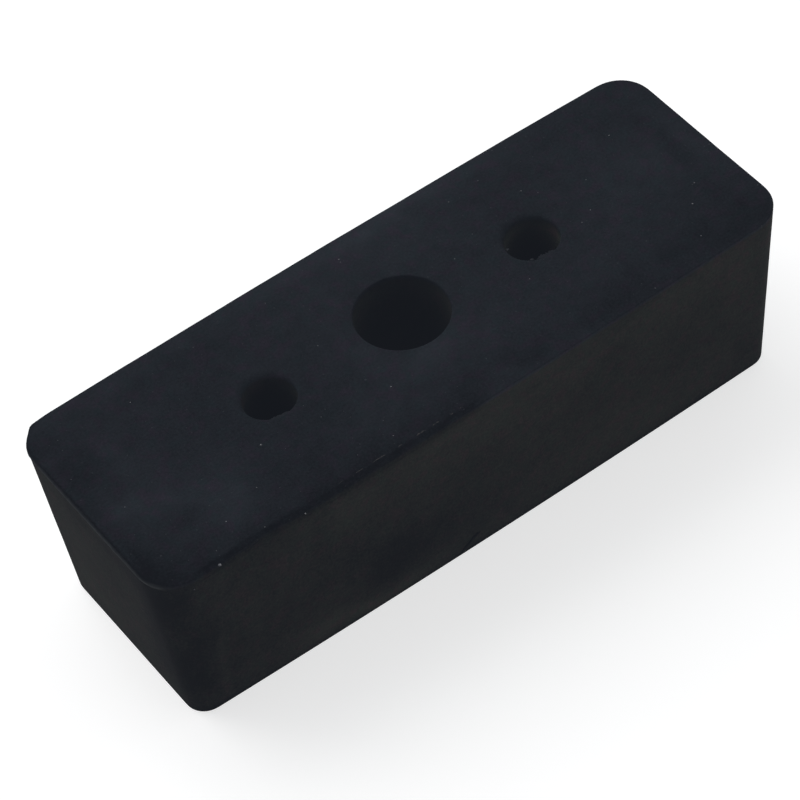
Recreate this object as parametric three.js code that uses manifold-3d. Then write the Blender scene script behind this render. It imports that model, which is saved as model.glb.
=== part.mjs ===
// Bolt-down rubber bump block: one tapered rubber moulding with a large hole through its
// middle, a bolt well each side of it, and the steel that is bonded inside to hold the bolts.
// Millimetres, +Z up. The origin is at the middle of the base, where the block stands.

import * as THREE from 'three';
import * as BufferGeometryUtils from 'three/addons/utils/BufferGeometryUtils.js';
import Module from 'manifold-3d';

const wasm = await Module();
wasm.setup();

// ---- Driving dimensions ----

// The block is widest at its top face, where the mould opened, and tapers to its base.
const BLOCK = {
  height: 73,
  top: { length: 250, width: 87, cornerRadius: 13 },
  base: { length: 238, width: 77.2, cornerRadius: 7.3 },
  sideBow: 1,
};

const CENTRE_HOLE = { x: 0.9, y: 3.4, radius: 16.2 };

// Each bolt well is a plain bore that passes a bolt head down to the top of its steel sleeve.
const BOLT_WELL = { spacing: 105.2, y: 1.9, radius: 9 };

const SLEEVE = { outerRadius: 12, boltRadius: 5.5, length: 20, chamfer: 0.8 };

const PLATE = {
  length: 200,
  width: 56,
  thickness: 6,
  cornerRadius: 10,
  heightAboveBase: 8,
  centreHoleRadius: 22,
  keyHoleRadius: 5,
  keyHoleSpacing: { x: 170, y: 30 },
};

const FIT_GAP = 0.3;
const CUT_OVERRUN = 1;

// ---- Fineness of the round stretches ----

const CORNER_STEPS = 10;
const SIDE_STEPS = 12;
const BORE_SEGMENTS = 64;
const CURVE_SEGMENTS = 16;

const QUARTER_TURN = Math.PI / 2;

// ---- Materials ----

const rubberMaterial = new THREE.MeshStandardMaterial({ color: 0x23252a, roughness: 0.82, metalness: 0 });
const plateMaterial = new THREE.MeshStandardMaterial({ color: 0x6f7276, roughness: 0.55, metalness: 1 });
const sleeveMaterial = new THREE.MeshStandardMaterial({ color: 0xa3a8ad, roughness: 0.38, metalness: 1 });

// ---- Solids ----

/** Turns a closed geometry into a solid that can be cut and joined. */
function toSolid(geometry) {
  const shell = geometry.clone();
  shell.deleteAttribute('normal');
  shell.deleteAttribute('uv');
  const merged = BufferGeometryUtils.mergeVertices(shell);
  const vertProperties = new Float32Array(merged.attributes.position.array);
  const triVerts = new Uint32Array(merged.index.array);
  return new wasm.Manifold(new wasm.Mesh({ numProp: 3, vertProperties, triVerts }));
}

/** Turns a solid back into a geometry. */
function toGeometry(solid) {
  const mesh = solid.getMesh();
  const geometry = new THREE.BufferGeometry();
  geometry.setAttribute('position', new THREE.BufferAttribute(new Float32Array(mesh.vertProperties), 3));
  geometry.setIndex(new THREE.BufferAttribute(new Uint32Array(mesh.triVerts), 1));
  geometry.computeVertexNormals();
  return geometry;
}

/** An upright cylinder from one height to another. */
function uprightCylinder({ x, y, radius }, fromZ, toZ) {
  const cylinder = new THREE.CylinderGeometry(radius, radius, toZ - fromZ, BORE_SEGMENTS);
  cylinder.rotateX(QUARTER_TURN);
  cylinder.translate(x, y, (fromZ + toZ) / 2);
  return cylinder;
}

/** Rounded rectangle whose long sides bow outwards, anticlockwise seen from above. */
function bowedOutline({ length, width, cornerRadius }, bow) {
  const straight = length / 2 - cornerRadius;
  const middle = width / 2 - cornerRadius;
  const corners = [[straight, middle], [-straight, middle], [-straight, -middle], [straight, -middle]];
  const points = [];
  corners.forEach(([x, y], corner) => {
    for (let step = 0; step <= CORNER_STEPS; step += 1) {
      const angle = (corner + step / CORNER_STEPS) * QUARTER_TURN;
      points.push(new THREE.Vector2(x + cornerRadius * Math.cos(angle), y + cornerRadius * Math.sin(angle)));
    }
    const side = [1, 0, -1, 0][corner];
    for (let step = 1; step < SIDE_STEPS && side !== 0; step += 1) {
      const along = 1 - (2 * step) / SIDE_STEPS;
      points.push(new THREE.Vector2(side * straight * along, side * (width / 2 + bow * (1 - along * along))));
    }
  });
  return points;
}

/** Closed body between a lower and an upper outline of equal point counts. */
function loftOutlines(lower, upper, height) {
  const count = lower.length;
  const positions = [];
  lower.forEach(({ x, y }) => positions.push(x, y, 0));
  upper.forEach(({ x, y }) => positions.push(x, y, height));
  const index = [];
  for (let here = 0; here < count; here += 1) {
    const next = (here + 1) % count;
    index.push(here, next, count + next);
    index.push(here, count + next, count + here);
  }
  THREE.ShapeUtils.triangulateShape(lower, []).forEach(([a, b, c]) => index.push(a, c, b));
  THREE.ShapeUtils.triangulateShape(upper, []).forEach(([a, b, c]) => index.push(count + a, count + b, count + c));
  const geometry = new THREE.BufferGeometry();
  geometry.setAttribute('position', new THREE.Float32BufferAttribute(positions, 3));
  geometry.setIndex(index);
  return geometry;
}

// ---- Places that the pieces share ----

const boltWells = {
  left: { x: -BOLT_WELL.spacing / 2, y: BOLT_WELL.y },
  right: { x: BOLT_WELL.spacing / 2, y: BOLT_WELL.y },
};

/** The plate, grown all round by a gap: its outline and faces move out and its holes close in. */
function plateGeometry(grow) {
  const halfLength = PLATE.length / 2 + grow;
  const halfWidth = PLATE.width / 2 + grow;
  const radius = PLATE.cornerRadius + grow;
  const outline = new THREE.Shape();
  outline.absarc(halfLength - radius, halfWidth - radius, radius, 0, QUARTER_TURN);
  outline.absarc(radius - halfLength, halfWidth - radius, radius, QUARTER_TURN, 2 * QUARTER_TURN);
  outline.absarc(radius - halfLength, radius - halfWidth, radius, 2 * QUARTER_TURN, 3 * QUARTER_TURN);
  outline.absarc(halfLength - radius, radius - halfWidth, radius, 3 * QUARTER_TURN, 4 * QUARTER_TURN);
  outline.closePath();

  const addHole = (x, y, holeRadius) => {
    const hole = new THREE.Path();
    hole.absarc(x, y, holeRadius - grow, 0, 4 * QUARTER_TURN);
    outline.holes.push(hole);
  };
  addHole(CENTRE_HOLE.x, CENTRE_HOLE.y, PLATE.centreHoleRadius);
  Object.values(boltWells).forEach(({ x, y }) => addHole(x, y, SLEEVE.outerRadius + FIT_GAP));
  for (const x of [-1, 1]) {
    for (const y of [-1, 1]) {
      addHole((x * PLATE.keyHoleSpacing.x) / 2, (y * PLATE.keyHoleSpacing.y) / 2, PLATE.keyHoleRadius);
    }
  }

  const depth = PLATE.thickness + 2 * grow;
  const plate = new THREE.ExtrudeGeometry(outline, { depth, bevelEnabled: false, curveSegments: CURVE_SEGMENTS });
  plate.translate(0, 0, PLATE.heightAboveBase - grow);
  return plate;
}

// ---- Sub-parts ----

/** The moulding: the tapered block with its holes, moulded round the plate and the sleeves. */
function makeRubberBlock() {
  const base = bowedOutline(BLOCK.base, BLOCK.sideBow);
  const top = bowedOutline(BLOCK.top, BLOCK.sideBow);
  let block = toSolid(loftOutlines(base, top, BLOCK.height));

  const above = BLOCK.height + CUT_OVERRUN;
  block = block.subtract(toSolid(uprightCylinder(CENTRE_HOLE, -CUT_OVERRUN, above)));
  for (const place of Object.values(boltWells)) {
    const well = uprightCylinder({ ...place, radius: BOLT_WELL.radius }, -CUT_OVERRUN, above);
    const sleevePocketRadius = SLEEVE.outerRadius + FIT_GAP;
    const sleevePocketTop = SLEEVE.length + FIT_GAP;
    const sleevePocket = uprightCylinder({ ...place, radius: sleevePocketRadius }, -CUT_OVERRUN, sleevePocketTop);
    block = block.subtract(toSolid(well)).subtract(toSolid(sleevePocket));
  }
  block = block.subtract(toSolid(plateGeometry(FIT_GAP)));
  return new THREE.Mesh(toGeometry(block), rubberMaterial);
}

/** Steel plate inside the base that spreads the bolts' pull through the rubber. */
function makeCorePlate() {
  return new THREE.Mesh(plateGeometry(0), plateMaterial);
}

/** Steel sleeve that a bolt head seats on, standing on the base so that bolting can't crush the rubber. */
function makeBoltSleeve({ x, y }) {
  const { outerRadius, boltRadius, length, chamfer } = SLEEVE;
  const profile = [
    [boltRadius, 0],
    [outerRadius - chamfer, 0],
    [outerRadius, chamfer],
    [outerRadius, length - chamfer],
    [outerRadius - chamfer, length],
    [boltRadius + chamfer, length],
    [boltRadius, length - chamfer],
    [boltRadius, 0],
  ];
  const ring = new THREE.LatheGeometry(profile.map(([r, z]) => new THREE.Vector2(r, z)), BORE_SEGMENTS);
  ring.rotateX(QUARTER_TURN);
  const sleeve = new THREE.Mesh(ring, sleeveMaterial);
  sleeve.position.set(x, y, 0);
  return sleeve;
}

// ---- Assembly ----

const bumpBlock = new THREE.Group();

/** Names a piece and adds it to the assembly. */
function addPiece(name, piece) {
  piece.name = name;
  bumpBlock.add(piece);
}

addPiece('rubber_block', makeRubberBlock());
addPiece('core_plate', makeCorePlate());
addPiece('bolt_sleeve_left', makeBoltSleeve(boltWells.left));
addPiece('bolt_sleeve_right', makeBoltSleeve(boltWells.right));

export default bumpBlock;
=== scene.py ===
"""Rubber bump block: a tapered black rubber moulding with a large centre hole, a bolt well on
each side of it and bonded steel inside, on a plain pale floor.

Every length is in metres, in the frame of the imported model.
"""

import logging
import math
from contextlib import contextmanager
from dataclasses import dataclass, field
from functools import cached_property
from typing import Any, Callable, Iterator

import bmesh
import bpy
from mathutils import Matrix, Vector, noise


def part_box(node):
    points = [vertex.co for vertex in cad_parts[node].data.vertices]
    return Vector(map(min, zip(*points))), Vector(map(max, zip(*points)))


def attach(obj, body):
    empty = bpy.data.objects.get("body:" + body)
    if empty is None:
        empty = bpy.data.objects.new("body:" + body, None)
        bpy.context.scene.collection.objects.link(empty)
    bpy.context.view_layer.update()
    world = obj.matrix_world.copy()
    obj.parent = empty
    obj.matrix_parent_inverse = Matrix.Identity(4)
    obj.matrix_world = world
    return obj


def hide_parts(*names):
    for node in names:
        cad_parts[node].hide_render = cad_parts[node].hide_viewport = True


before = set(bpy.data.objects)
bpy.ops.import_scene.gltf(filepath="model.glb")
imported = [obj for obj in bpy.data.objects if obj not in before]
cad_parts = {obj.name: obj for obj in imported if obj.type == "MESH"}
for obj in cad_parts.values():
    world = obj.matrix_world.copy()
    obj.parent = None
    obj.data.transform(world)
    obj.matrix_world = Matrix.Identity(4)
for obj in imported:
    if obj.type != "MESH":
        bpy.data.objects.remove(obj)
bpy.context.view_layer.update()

LOG = logging.getLogger("bump_block")
MM = 0.001
ROOT_BODY = "root"


# ---------------------------------------------------------------- workbench


@contextmanager
def editing(piece: bpy.types.Object) -> Iterator[bpy.types.Object]:
    """Opens one piece in edit mode with nothing else selected.

    Args:
        piece: The mesh object to edit.

    Returns:
        The same piece, back in object mode once the block ends.
    """
    pick(piece)
    bpy.ops.object.mode_set(mode="EDIT")
    try:
        yield piece
    finally:
        bpy.ops.object.mode_set(mode="OBJECT")


def pick(*pieces: bpy.types.Object) -> None:
    """Selects only these pieces and makes the first one active.

    Args:
        pieces: The objects to select.
    """
    bpy.ops.object.select_all(action="DESELECT")
    for piece in pieces:
        piece.select_set(True)
    bpy.context.view_layer.objects.active = pieces[0]


def select_where(piece: bpy.types.Object, kind: str, wanted: Callable[[Any], bool]) -> None:
    """Selects, in edit mode, just the edges or faces that a test accepts.

    Args:
        piece: The mesh object, already in edit mode.
        kind: EDGE or FACE.
        wanted: Says whether an edge or a face is selected.
    """
    bpy.ops.mesh.select_mode(type=kind)
    bpy.ops.mesh.select_all(action="DESELECT")
    mesh = bmesh.from_edit_mesh(piece.data)
    parts = mesh.edges if kind == "EDGE" else mesh.faces
    for part in [part for part in parts if wanted(part)]:
        part.select_set(True)
    bmesh.update_edit_mesh(piece.data)


def join(*pieces: bpy.types.Object) -> bpy.types.Object:
    """Joins several pieces into the first one and returns it."""
    pick(*pieces)
    bpy.ops.object.join()
    return bpy.context.view_layer.objects.active


def apply_modifier(piece: bpy.types.Object, kind: str, **settings: Any) -> None:
    """Adds a modifier, sets it up and applies it.

    Args:
        piece: The mesh object.
        kind: The modifier's type.
        settings: Values for the modifier's own properties.
    """
    pick(piece)
    bpy.ops.object.modifier_add(type=kind)
    modifier = piece.modifiers[-1]
    for name, value in settings.items():
        setattr(modifier, name, value)
    bpy.ops.object.modifier_apply(modifier=modifier.name)


def mm(x: float, y: float, z: float) -> Vector:
    """A point or size given in millimetres."""
    return Vector((x, y, z)) * MM


def mm_each(*sizes: float) -> tuple[float, ...]:
    """Several lengths given in millimetres."""
    return tuple(size * MM for size in sizes)


def blend(low: float, high: float, share: float) -> float:
    """The number that lies a share of the way from low to high."""
    return low + (high - low) * share


def smooth_step(value: float, start: float, end: float) -> float:
    """Rises smoothly from 0 at start to 1 at end."""
    share = min(max((value - start) / (end - start), 0.0), 1.0)
    return share * share * (3.0 - 2.0 * share)


def ripple(place: float, scale: float, across: float = 0.0, seed: float = 0.0) -> float:
    """Smooth noise from about -1 to 1 along a line, and another one for each place across and seed."""
    return noise.noise(Vector((place / scale, across, seed)))


@dataclass(frozen=True)
class Band:
    """A stretch over which something fades."""

    start: float
    end: float

    def rise(self, value: float) -> float:
        """0 before the stretch and 1 after it."""
        return smooth_step(value, self.start, self.end)

    def fall(self, value: float) -> float:
        """1 before the stretch and 0 after it."""
        return 1 - self.rise(value)


# ---------------------------------------------------------------- shader maths


class Wire:
    """One number travelling through a material, which Python's operators act on."""

    def __init__(self, board: "NodeBoard", socket: bpy.types.NodeSocket) -> None:
        """Keeps the board that makes new nodes and the socket that the value leaves by."""
        self.board = board
        self.socket = socket

    def _maths(self, operation: str, first: Any, second: Any) -> "Wire":
        """Adds one Math node and returns its result."""
        return self.board.add("ShaderNodeMath", {"operation": operation}, {0: first, 1: second})

    def __add__(self, other: Any) -> "Wire":
        """self + other."""
        return self._maths("ADD", self, other)

    def __radd__(self, other: Any) -> "Wire":
        """other + self."""
        return self._maths("ADD", other, self)

    def __sub__(self, other: Any) -> "Wire":
        """self - other."""
        return self._maths("SUBTRACT", self, other)

    def __rsub__(self, other: Any) -> "Wire":
        """other - self."""
        return self._maths("SUBTRACT", other, self)

    def __mul__(self, other: Any) -> "Wire":
        """self * other."""
        return self._maths("MULTIPLY", self, other)

    def __rmul__(self, other: Any) -> "Wire":
        """other * self."""
        return self._maths("MULTIPLY", other, self)

    def __lt__(self, other: Any) -> "Wire":
        """1 where self is less than other."""
        return self._maths("LESS_THAN", self, other)

    def rise(self, band: Band) -> "Wire":
        """0 before the stretch and 1 after it."""
        settings = {"interpolation_type": "SMOOTHSTEP"}
        inputs = {"Value": self, "From Min": band.start, "From Max": band.end}
        return self.board.add("ShaderNodeMapRange", settings, inputs)


class NodeBoard:
    """The nodes of a material or a world."""

    def __init__(self, owner: bpy.types.Material | bpy.types.World) -> None:
        """Clears the owner's nodes.

        Args:
            owner: The material or world that the nodes belong to.
        """
        owner.use_nodes = True
        self.owner = owner
        self.tree = owner.node_tree
        self.tree.nodes.clear()

    @cached_property
    def place(self) -> Wire:
        """The place on the piece, in its own frame."""
        return self.add("ShaderNodeTexCoord", output="Object")

    @classmethod
    def material(cls, name: str) -> "NodeBoard":
        """An empty board on a new material."""
        return cls(bpy.data.materials.new(name))

    def add(
        self,
        kind: str,
        settings: dict[str, Any] | None = None,
        inputs: dict[str | int, Any] | None = None,
        output: str | int = 0,
    ) -> Wire:
        """Adds one node.

        Args:
            kind: The node's type.
            settings: Its own properties, set first.
            inputs: Values or wires for its sockets, by name or number.
            output: The socket that the result leaves by.

        Returns:
            The wire out of the node.
        """
        node = self.tree.nodes.new(kind)
        for name, value in (settings or {}).items():
            setattr(node, name, value)
        for name, value in (inputs or {}).items():
            if isinstance(value, Wire):
                self.tree.links.new(value.socket, node.inputs[name])
            else:
                node.inputs[name].default_value = value
        return Wire(self, node.outputs[output])

    def mix(self, share: Any, first: Any, second: Any) -> Wire:
        """Mixes two colours.

        Args:
            share: How much of the second colour, from 0 to 1.
            first: The colour where the share is 0.
            second: The colour where the share is 1.

        Returns:
            The mixed colour.
        """
        settings = {"data_type": "RGBA"}
        return self.add("ShaderNodeMix", settings, {0: share, 6: first, 7: second}, output=2)

    def clouds(
        self, size: float, detail: float = 2.0, stretch: Vector | None = None, roughness: float = 0.5
    ) -> Wire:
        """Soft noise from about 0 to 1.

        Args:
            size: How far apart its blotches are, in metres.
            detail: How many finer layers it has.
            stretch: Scales the pattern along each axis.
            roughness: How strong the finer layers are.

        Returns:
            The noise.
        """
        place = self.place
        if stretch is not None:
            place = self.add("ShaderNodeMapping", None, {"Vector": place, "Scale": stretch})
        inputs = {"Vector": place, "Scale": 1.0 / size, "Detail": detail, "Roughness": roughness}
        return self.add("ShaderNodeTexNoise", None, inputs)

    def attribute(self, name: str) -> Wire:
        """A number that the mesh carries at each of its points."""
        return self.add("ShaderNodeAttribute", {"attribute_name": name}, None, output="Fac")

    def axis(self, name: str) -> Wire:
        """One coordinate of the place on the piece, by its letter."""
        return self.add("ShaderNodeSeparateXYZ", None, {0: self.place}, output=name)

    def bump(self, height: Wire, depth: float, below: Wire | None = None) -> Wire:
        """Turns a height pattern into a bumped normal.

        Args:
            height: The pattern, from 0 to 1.
            depth: The height in metres of a full step of the pattern.
            below: A bump that this one lies on.

        Returns:
            The normal.
        """
        inputs: dict[str | int, Any] = {"Height": height, "Distance": depth, "Strength": 1.0}
        if below is not None:
            inputs["Normal"] = below
        return self.add("ShaderNodeBump", None, inputs, output="Normal")

    def surface(self, **inputs: Any) -> bpy.types.Material:
        """Ends the material in one Principled shader.

        Args:
            inputs: Values or wires for the shader's sockets, with _ for each space in a name.

        Returns:
            The finished material.
        """
        named = {name.replace("_", " "): value for name, value in inputs.items()}
        self.finish("ShaderNodeOutputMaterial", self.add("ShaderNodeBsdfPrincipled", None, named))
        return self.owner

    def finish(self, kind: str, shader: Wire) -> None:
        """Joins a shader to a new output node of the kind."""
        output = self.tree.nodes.new(kind)
        self.tree.links.new(shader.socket, output.inputs["Surface"])


Colour = tuple[float, float, float, float]
WHITE: Colour = (1.0, 1.0, 1.0, 1.0)


# ---------------------------------------------------------------- finishes


@dataclass(frozen=True)
class Specks:
    """Dust specks scattered over the top of the block."""

    spacing: float
    radius: float
    clean_share: float
    strength: float

    def pattern(self, board: NodeBoard) -> Wire:
        """How dusty each place is, looking down: up to the strength on a speck and 0 off it."""
        inputs = {"Vector": board.place, "Scale": 1.0 / self.spacing, "Randomness": 1.0}
        settings = {"voronoi_dimensions": "2D"}
        distance = board.add("ShaderNodeTexVoronoi", settings, inputs, output="Distance")
        cell = board.add("ShaderNodeTexVoronoi", settings, inputs, output="Color")
        chance = board.add("ShaderNodeSeparateColor", None, {0: cell}, output=0)
        size = (chance - self.clean_share) * (self.radius / self.spacing / (1.0 - self.clean_share))
        return (distance < size) * self.strength


@dataclass(frozen=True)
class MouldedRubber:
    """Matte black rubber as it left the mould: mottled and dusty, with a top painted lighter and bluer than
    the sides for the cool light from above, and with the painted shade, painted light and painted bead
    highlight that the mesh carries.
    """

    top_height: float
    top_fade: Band = Band(2.2 * MM, 0.8 * MM)
    patch_size: float = 38 * MM
    patch_strength: float = 0.62
    mottle_size: float = 6 * MM
    mottle_strength: float = 0.80
    grain_size: float = 0.9 * MM
    side_colour: Colour = (0.0101, 0.0101, 0.0078, 1.0)
    top_painted_light_colour: Colour = (0.0096, 0.0111, 0.0135, 1.0)
    violet_tint: Colour = (1.28, 0.93, 1.10, 1.0)
    violet_size: float = 4.4 * MM
    violet_band: Band = Band(0.48, 0.66)
    teal_tint: Colour = (0.90, 1.04, 1.00, 1.0)
    teal_size: float = 3.7 * MM
    teal_band: Band = Band(0.50, 0.66)
    top_grain: float = 1.7
    side_grain: float = 2.4
    bead_highlight_colour: Colour = (0.040, 0.042, 0.042, 1.0)
    bead_highlight_strength: float = 0.8
    dust_colour: Colour = (0.16, 0.165, 0.17, 1.0)
    tone_strength: float = 2.0
    darkest_shade: float = 0.15
    specks: tuple[Specks, ...] = (
        Specks(14 * MM, 0.25 * MM, 0.4, 0.34),
        Specks(4.2 * MM, 0.20 * MM, 0.5, 0.11),
    )
    roughness: float = 0.92
    specular: float = 0.03

    def material(self) -> bpy.types.Material:
        """Makes the material."""
        board = NodeBoard.material("moulded_rubber")
        on_top = (self.top_height - board.axis("Z")).rise(self.top_fade)

        patches = board.clouds(self.patch_size)
        mottle = board.clouds(self.mottle_size, detail=3.0, roughness=0.6)
        grain = board.clouds(self.grain_size, detail=3.0, roughness=0.75)
        shade = 1.0 + (patches - 0.5) * self.patch_strength + (mottle - 0.5) * self.mottle_strength
        shade = shade + (grain - 0.5) * (self.side_grain - on_top * (self.side_grain - self.top_grain))
        # the tone attribute holds random tone together with painted shade and painted light
        shade = shade + board.attribute("tone") * self.tone_strength
        shade = board.add("ShaderNodeMath", {"operation": "MAXIMUM"}, {0: shade, 1: self.darkest_shade})

        violet = board.clouds(self.violet_size).rise(self.violet_band)
        teal = board.clouds(self.teal_size).rise(self.teal_band)
        tint = board.mix(teal, board.mix(violet, WHITE, self.violet_tint), self.teal_tint)
        tone = board.add("ShaderNodeCombineXYZ", None, {0: shade, 1: shade, 2: shade})
        # painted light: the top face is coloured lighter and bluer than the sides, as the cool light from
        # above makes it look
        colour = board.mix(on_top, self.side_colour, self.top_painted_light_colour)
        for factor in (tint, tone):
            colour = board.add("ShaderNodeVectorMath", {"operation": "MULTIPLY"}, {0: colour, 1: factor})
        # painted highlight: the colour turns paler along the end rim's bead
        colour = board.mix(board.attribute("bead_highlight") * self.bead_highlight_strength, colour, self.bead_highlight_colour)
        for specks in self.specks:
            colour = board.mix(specks.pattern(board) * on_top, colour, self.dust_colour)

        fine = board.bump(grain, 0.07 * MM)
        coarse = board.bump(mottle, 0.12 * MM, below=fine)
        return board.surface(
            Base_Color=colour,
            Roughness=self.roughness - patches * 0.08 + mottle * 0.10,
            Normal=coarse,
            Specular_IOR_Level=self.specular,
        )


@dataclass(frozen=True)
class StreakedRubber:
    """A finish in a shade of its own, streaked between a pale and a dark colour: rubber whitened where it
    tore, pale dust, and near-black painted shadow.
    """

    name: str
    pale: Colour
    dark: Colour
    stretch_size: float = 1.2 * MM
    pale_band: Band = Band(0.38, 0.62)
    specular: float = 0.03

    def material(self) -> bpy.types.Material:
        """Makes the material."""
        board = NodeBoard.material(self.name)
        stretch = board.clouds(self.stretch_size, detail=3.0, roughness=0.7)
        return board.surface(
            Base_Color=board.mix(stretch.rise(self.pale_band), self.dark, self.pale),
            Roughness=0.8 + stretch * 0.2,
            Normal=board.bump(stretch, 0.05 * MM),
            Specular_IOR_Level=self.specular,
        )


@dataclass(frozen=True)
class TurnedSteel:
    """Plain turned steel with fine lathe lines round the sleeve's axis and a little dull oxide."""

    colour: Colour = (0.36, 0.37, 0.38, 1.0)
    oxide_colour: Colour = (0.17, 0.15, 0.13, 1.0)
    oxide_band: Band = Band(0.52, 0.72)
    oxide_share: float = 0.7

    def material(self) -> bpy.types.Material:
        """Makes the material."""
        board = NodeBoard.material("turned_steel")
        lines = board.clouds(0.35 * MM, detail=1.0, stretch=Vector((0.05, 0.05, 1.0)))
        stain = board.clouds(6 * MM, detail=4.0)
        colour = board.mix(stain.rise(self.oxide_band) * self.oxide_share, self.colour, self.oxide_colour)
        return board.surface(
            Base_Color=colour,
            Metallic=1.0,
            Roughness=0.34 + stain * 0.24,
            Normal=board.bump(lines, 0.02 * MM),
        )


@dataclass(frozen=True)
class PrimedSteel:
    """Grit-blasted steel plate under a thin grey bonding primer."""

    colour: Colour = (0.12, 0.125, 0.13, 1.0)
    worn_colour: Colour = (0.22, 0.22, 0.22, 1.0)
    worn_band: Band = Band(0.5, 0.7)

    def material(self) -> bpy.types.Material:
        """Makes the material."""
        board = NodeBoard.material("primed_steel")
        grit = board.clouds(0.6 * MM, detail=3.0)
        wear = board.clouds(14 * MM, detail=4.0)
        return board.surface(
            Base_Color=board.mix(wear.rise(self.worn_band), self.colour, self.worn_colour),
            Metallic=0.4,
            Roughness=0.55 + grit * 0.2,
            Normal=board.bump(grit, 0.06 * MM),
        )


@dataclass(frozen=True)
class PaleFloor:
    """A plain pale studio floor."""

    colour: Colour = (0.50, 0.50, 0.50, 1.0)
    glow: float = 0.66

    def material(self) -> bpy.types.Material:
        """Makes the material."""
        board = NodeBoard.material("pale_floor")
        return board.surface(
            Base_Color=self.colour,
            Roughness=0.9,
            Specular_IOR_Level=0.1,
            Emission_Color=WHITE,
            Emission_Strength=self.glow,
        )


# ---------------------------------------------------------------- the rubber moulding


@dataclass(frozen=True)
class Row:
    """Where one row of the outer wall lies: its height, and how far in from the tapered outline it is."""

    height: float
    inset: float


@dataclass(frozen=True)
class Ring:
    """Where one row of a bore's wall lies: its height and its radius."""

    height: float
    radius: float


@dataclass(frozen=True)
class Patch:
    """A rectangle of grid cells, whose edge points are numbered from its lowest corner, anticlockwise."""

    centre: Vector
    cell: Vector
    across_x: int
    across_y: int

    @property
    def half(self) -> Vector:
        """Half the patch's size."""
        return Vector((self.cell.x * self.across_x / 2, self.cell.y * self.across_y / 2, 0.0))

    @property
    def stations(self) -> int:
        """How many points the edge has."""
        return 2 * (self.across_x + self.across_y)

    def on_edge(self, point: Vector) -> bool:
        """Whether a point is one of those on the patch's edge."""
        away = point - self.centre
        slack = 0.05 * min(self.cell.x, self.cell.y)
        gap_x = self.half.x - abs(away.x)
        gap_y = self.half.y - abs(away.y)
        return min(gap_x, gap_y) > -slack and min(abs(gap_x), abs(gap_y)) < slack

    def covers(self, point: Vector) -> bool:
        """Whether a point is inside the patch."""
        away = point - self.centre
        return abs(away.x) < self.half.x and abs(away.y) < self.half.y

    def side(self, station: int) -> tuple[int, int, int]:
        """A station's side, from the front one anticlockwise, its place there and that side's cells."""
        for side, cells in enumerate((self.across_x, self.across_y, self.across_x, self.across_y)):
            if station < cells:
                return side, station, cells
            station -= cells
        raise ValueError(f"no station {station} beyond the last")

    def edge_point(self, station: int) -> Vector:
        """Where a station is on the patch's edge."""
        side, step, cells = self.side(station)
        reach = self.half if side % 2 == 0 else Vector((self.half.y, self.half.x, 0.0))
        along = reach.x * (2 * step / cells - 1)
        return self.centre + quarter_turns(Vector((along, -reach.y, 0.0)), side)

    def nearest_station(self, point: Vector) -> int:
        """The station that a point on the edge belongs to."""

        def apart(station: int) -> float:
            """How far a station is from the point, squared."""
            return (self.edge_point(station) - point).length_squared

        return min(range(self.stations), key=apart)


def quarter_turns(point: Vector, turns: int) -> Vector:
    """Turns a point anticlockwise about the upright axis by that many right angles."""
    for _ in range(turns):
        point = Vector((-point.y, point.x, point.z))
    return point


@dataclass(frozen=True)
class Outline:
    """A rounded rectangle whose long sides bow outwards by side_bow at their middles.

    Its corners go anticlockwise from the front left one.
    """

    length: float
    width: float
    corner_radii: tuple[float, float, float, float]
    side_bow: float
    corner_steps: int = 4

    def radius_near(self, point: Vector) -> float:
        """The radius of the corner in a point's quarter of the outline."""
        quarter = (0 if point.x < 0 else 1) if point.y < 0 else (3 if point.x < 0 else 2)
        return self.corner_radii[quarter]

    def point(self, patch: Patch, station: int, inset: float) -> Vector:
        """Where a station of the patch inside the outline lies on it.

        Args:
            patch: The patch of cells inside the outline.
            station: The number of a point on the patch's edge.
            inset: How far inside the outline the point is.

        Returns:
            The point, at height 0.
        """
        side, step, cells = patch.side(station)
        reach, bow = Vector((self.length / 2, self.width / 2)), self.side_bow
        if side % 2:
            reach, bow = reach.yx, 0.0
        start, end = self.corner_radii[side], self.corner_radii[(side + 1) % 4]
        from_corner = min(step, cells - step)
        if from_corner < self.corner_steps:
            lean = math.radians(45.0) * (1 - from_corner / self.corner_steps)
            hand, radius = (-1, start) if step < cells / 2 else (1, end)
            along = hand * (reach.x - radius + (radius - inset) * math.sin(lean))
            out = reach.y - radius + (radius - inset) * math.cos(lean)
        else:
            share = (step - self.corner_steps) / (cells - 2 * self.corner_steps)
            along = blend(start - reach.x, reach.x - end, share)
            out = reach.y - inset + bow * (1 - (2 * share - 1) ** 2)
        return quarter_turns(Vector((along, -out, 0.0)), side)


FIRST_CORNER_ANGLE = -135.0


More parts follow.
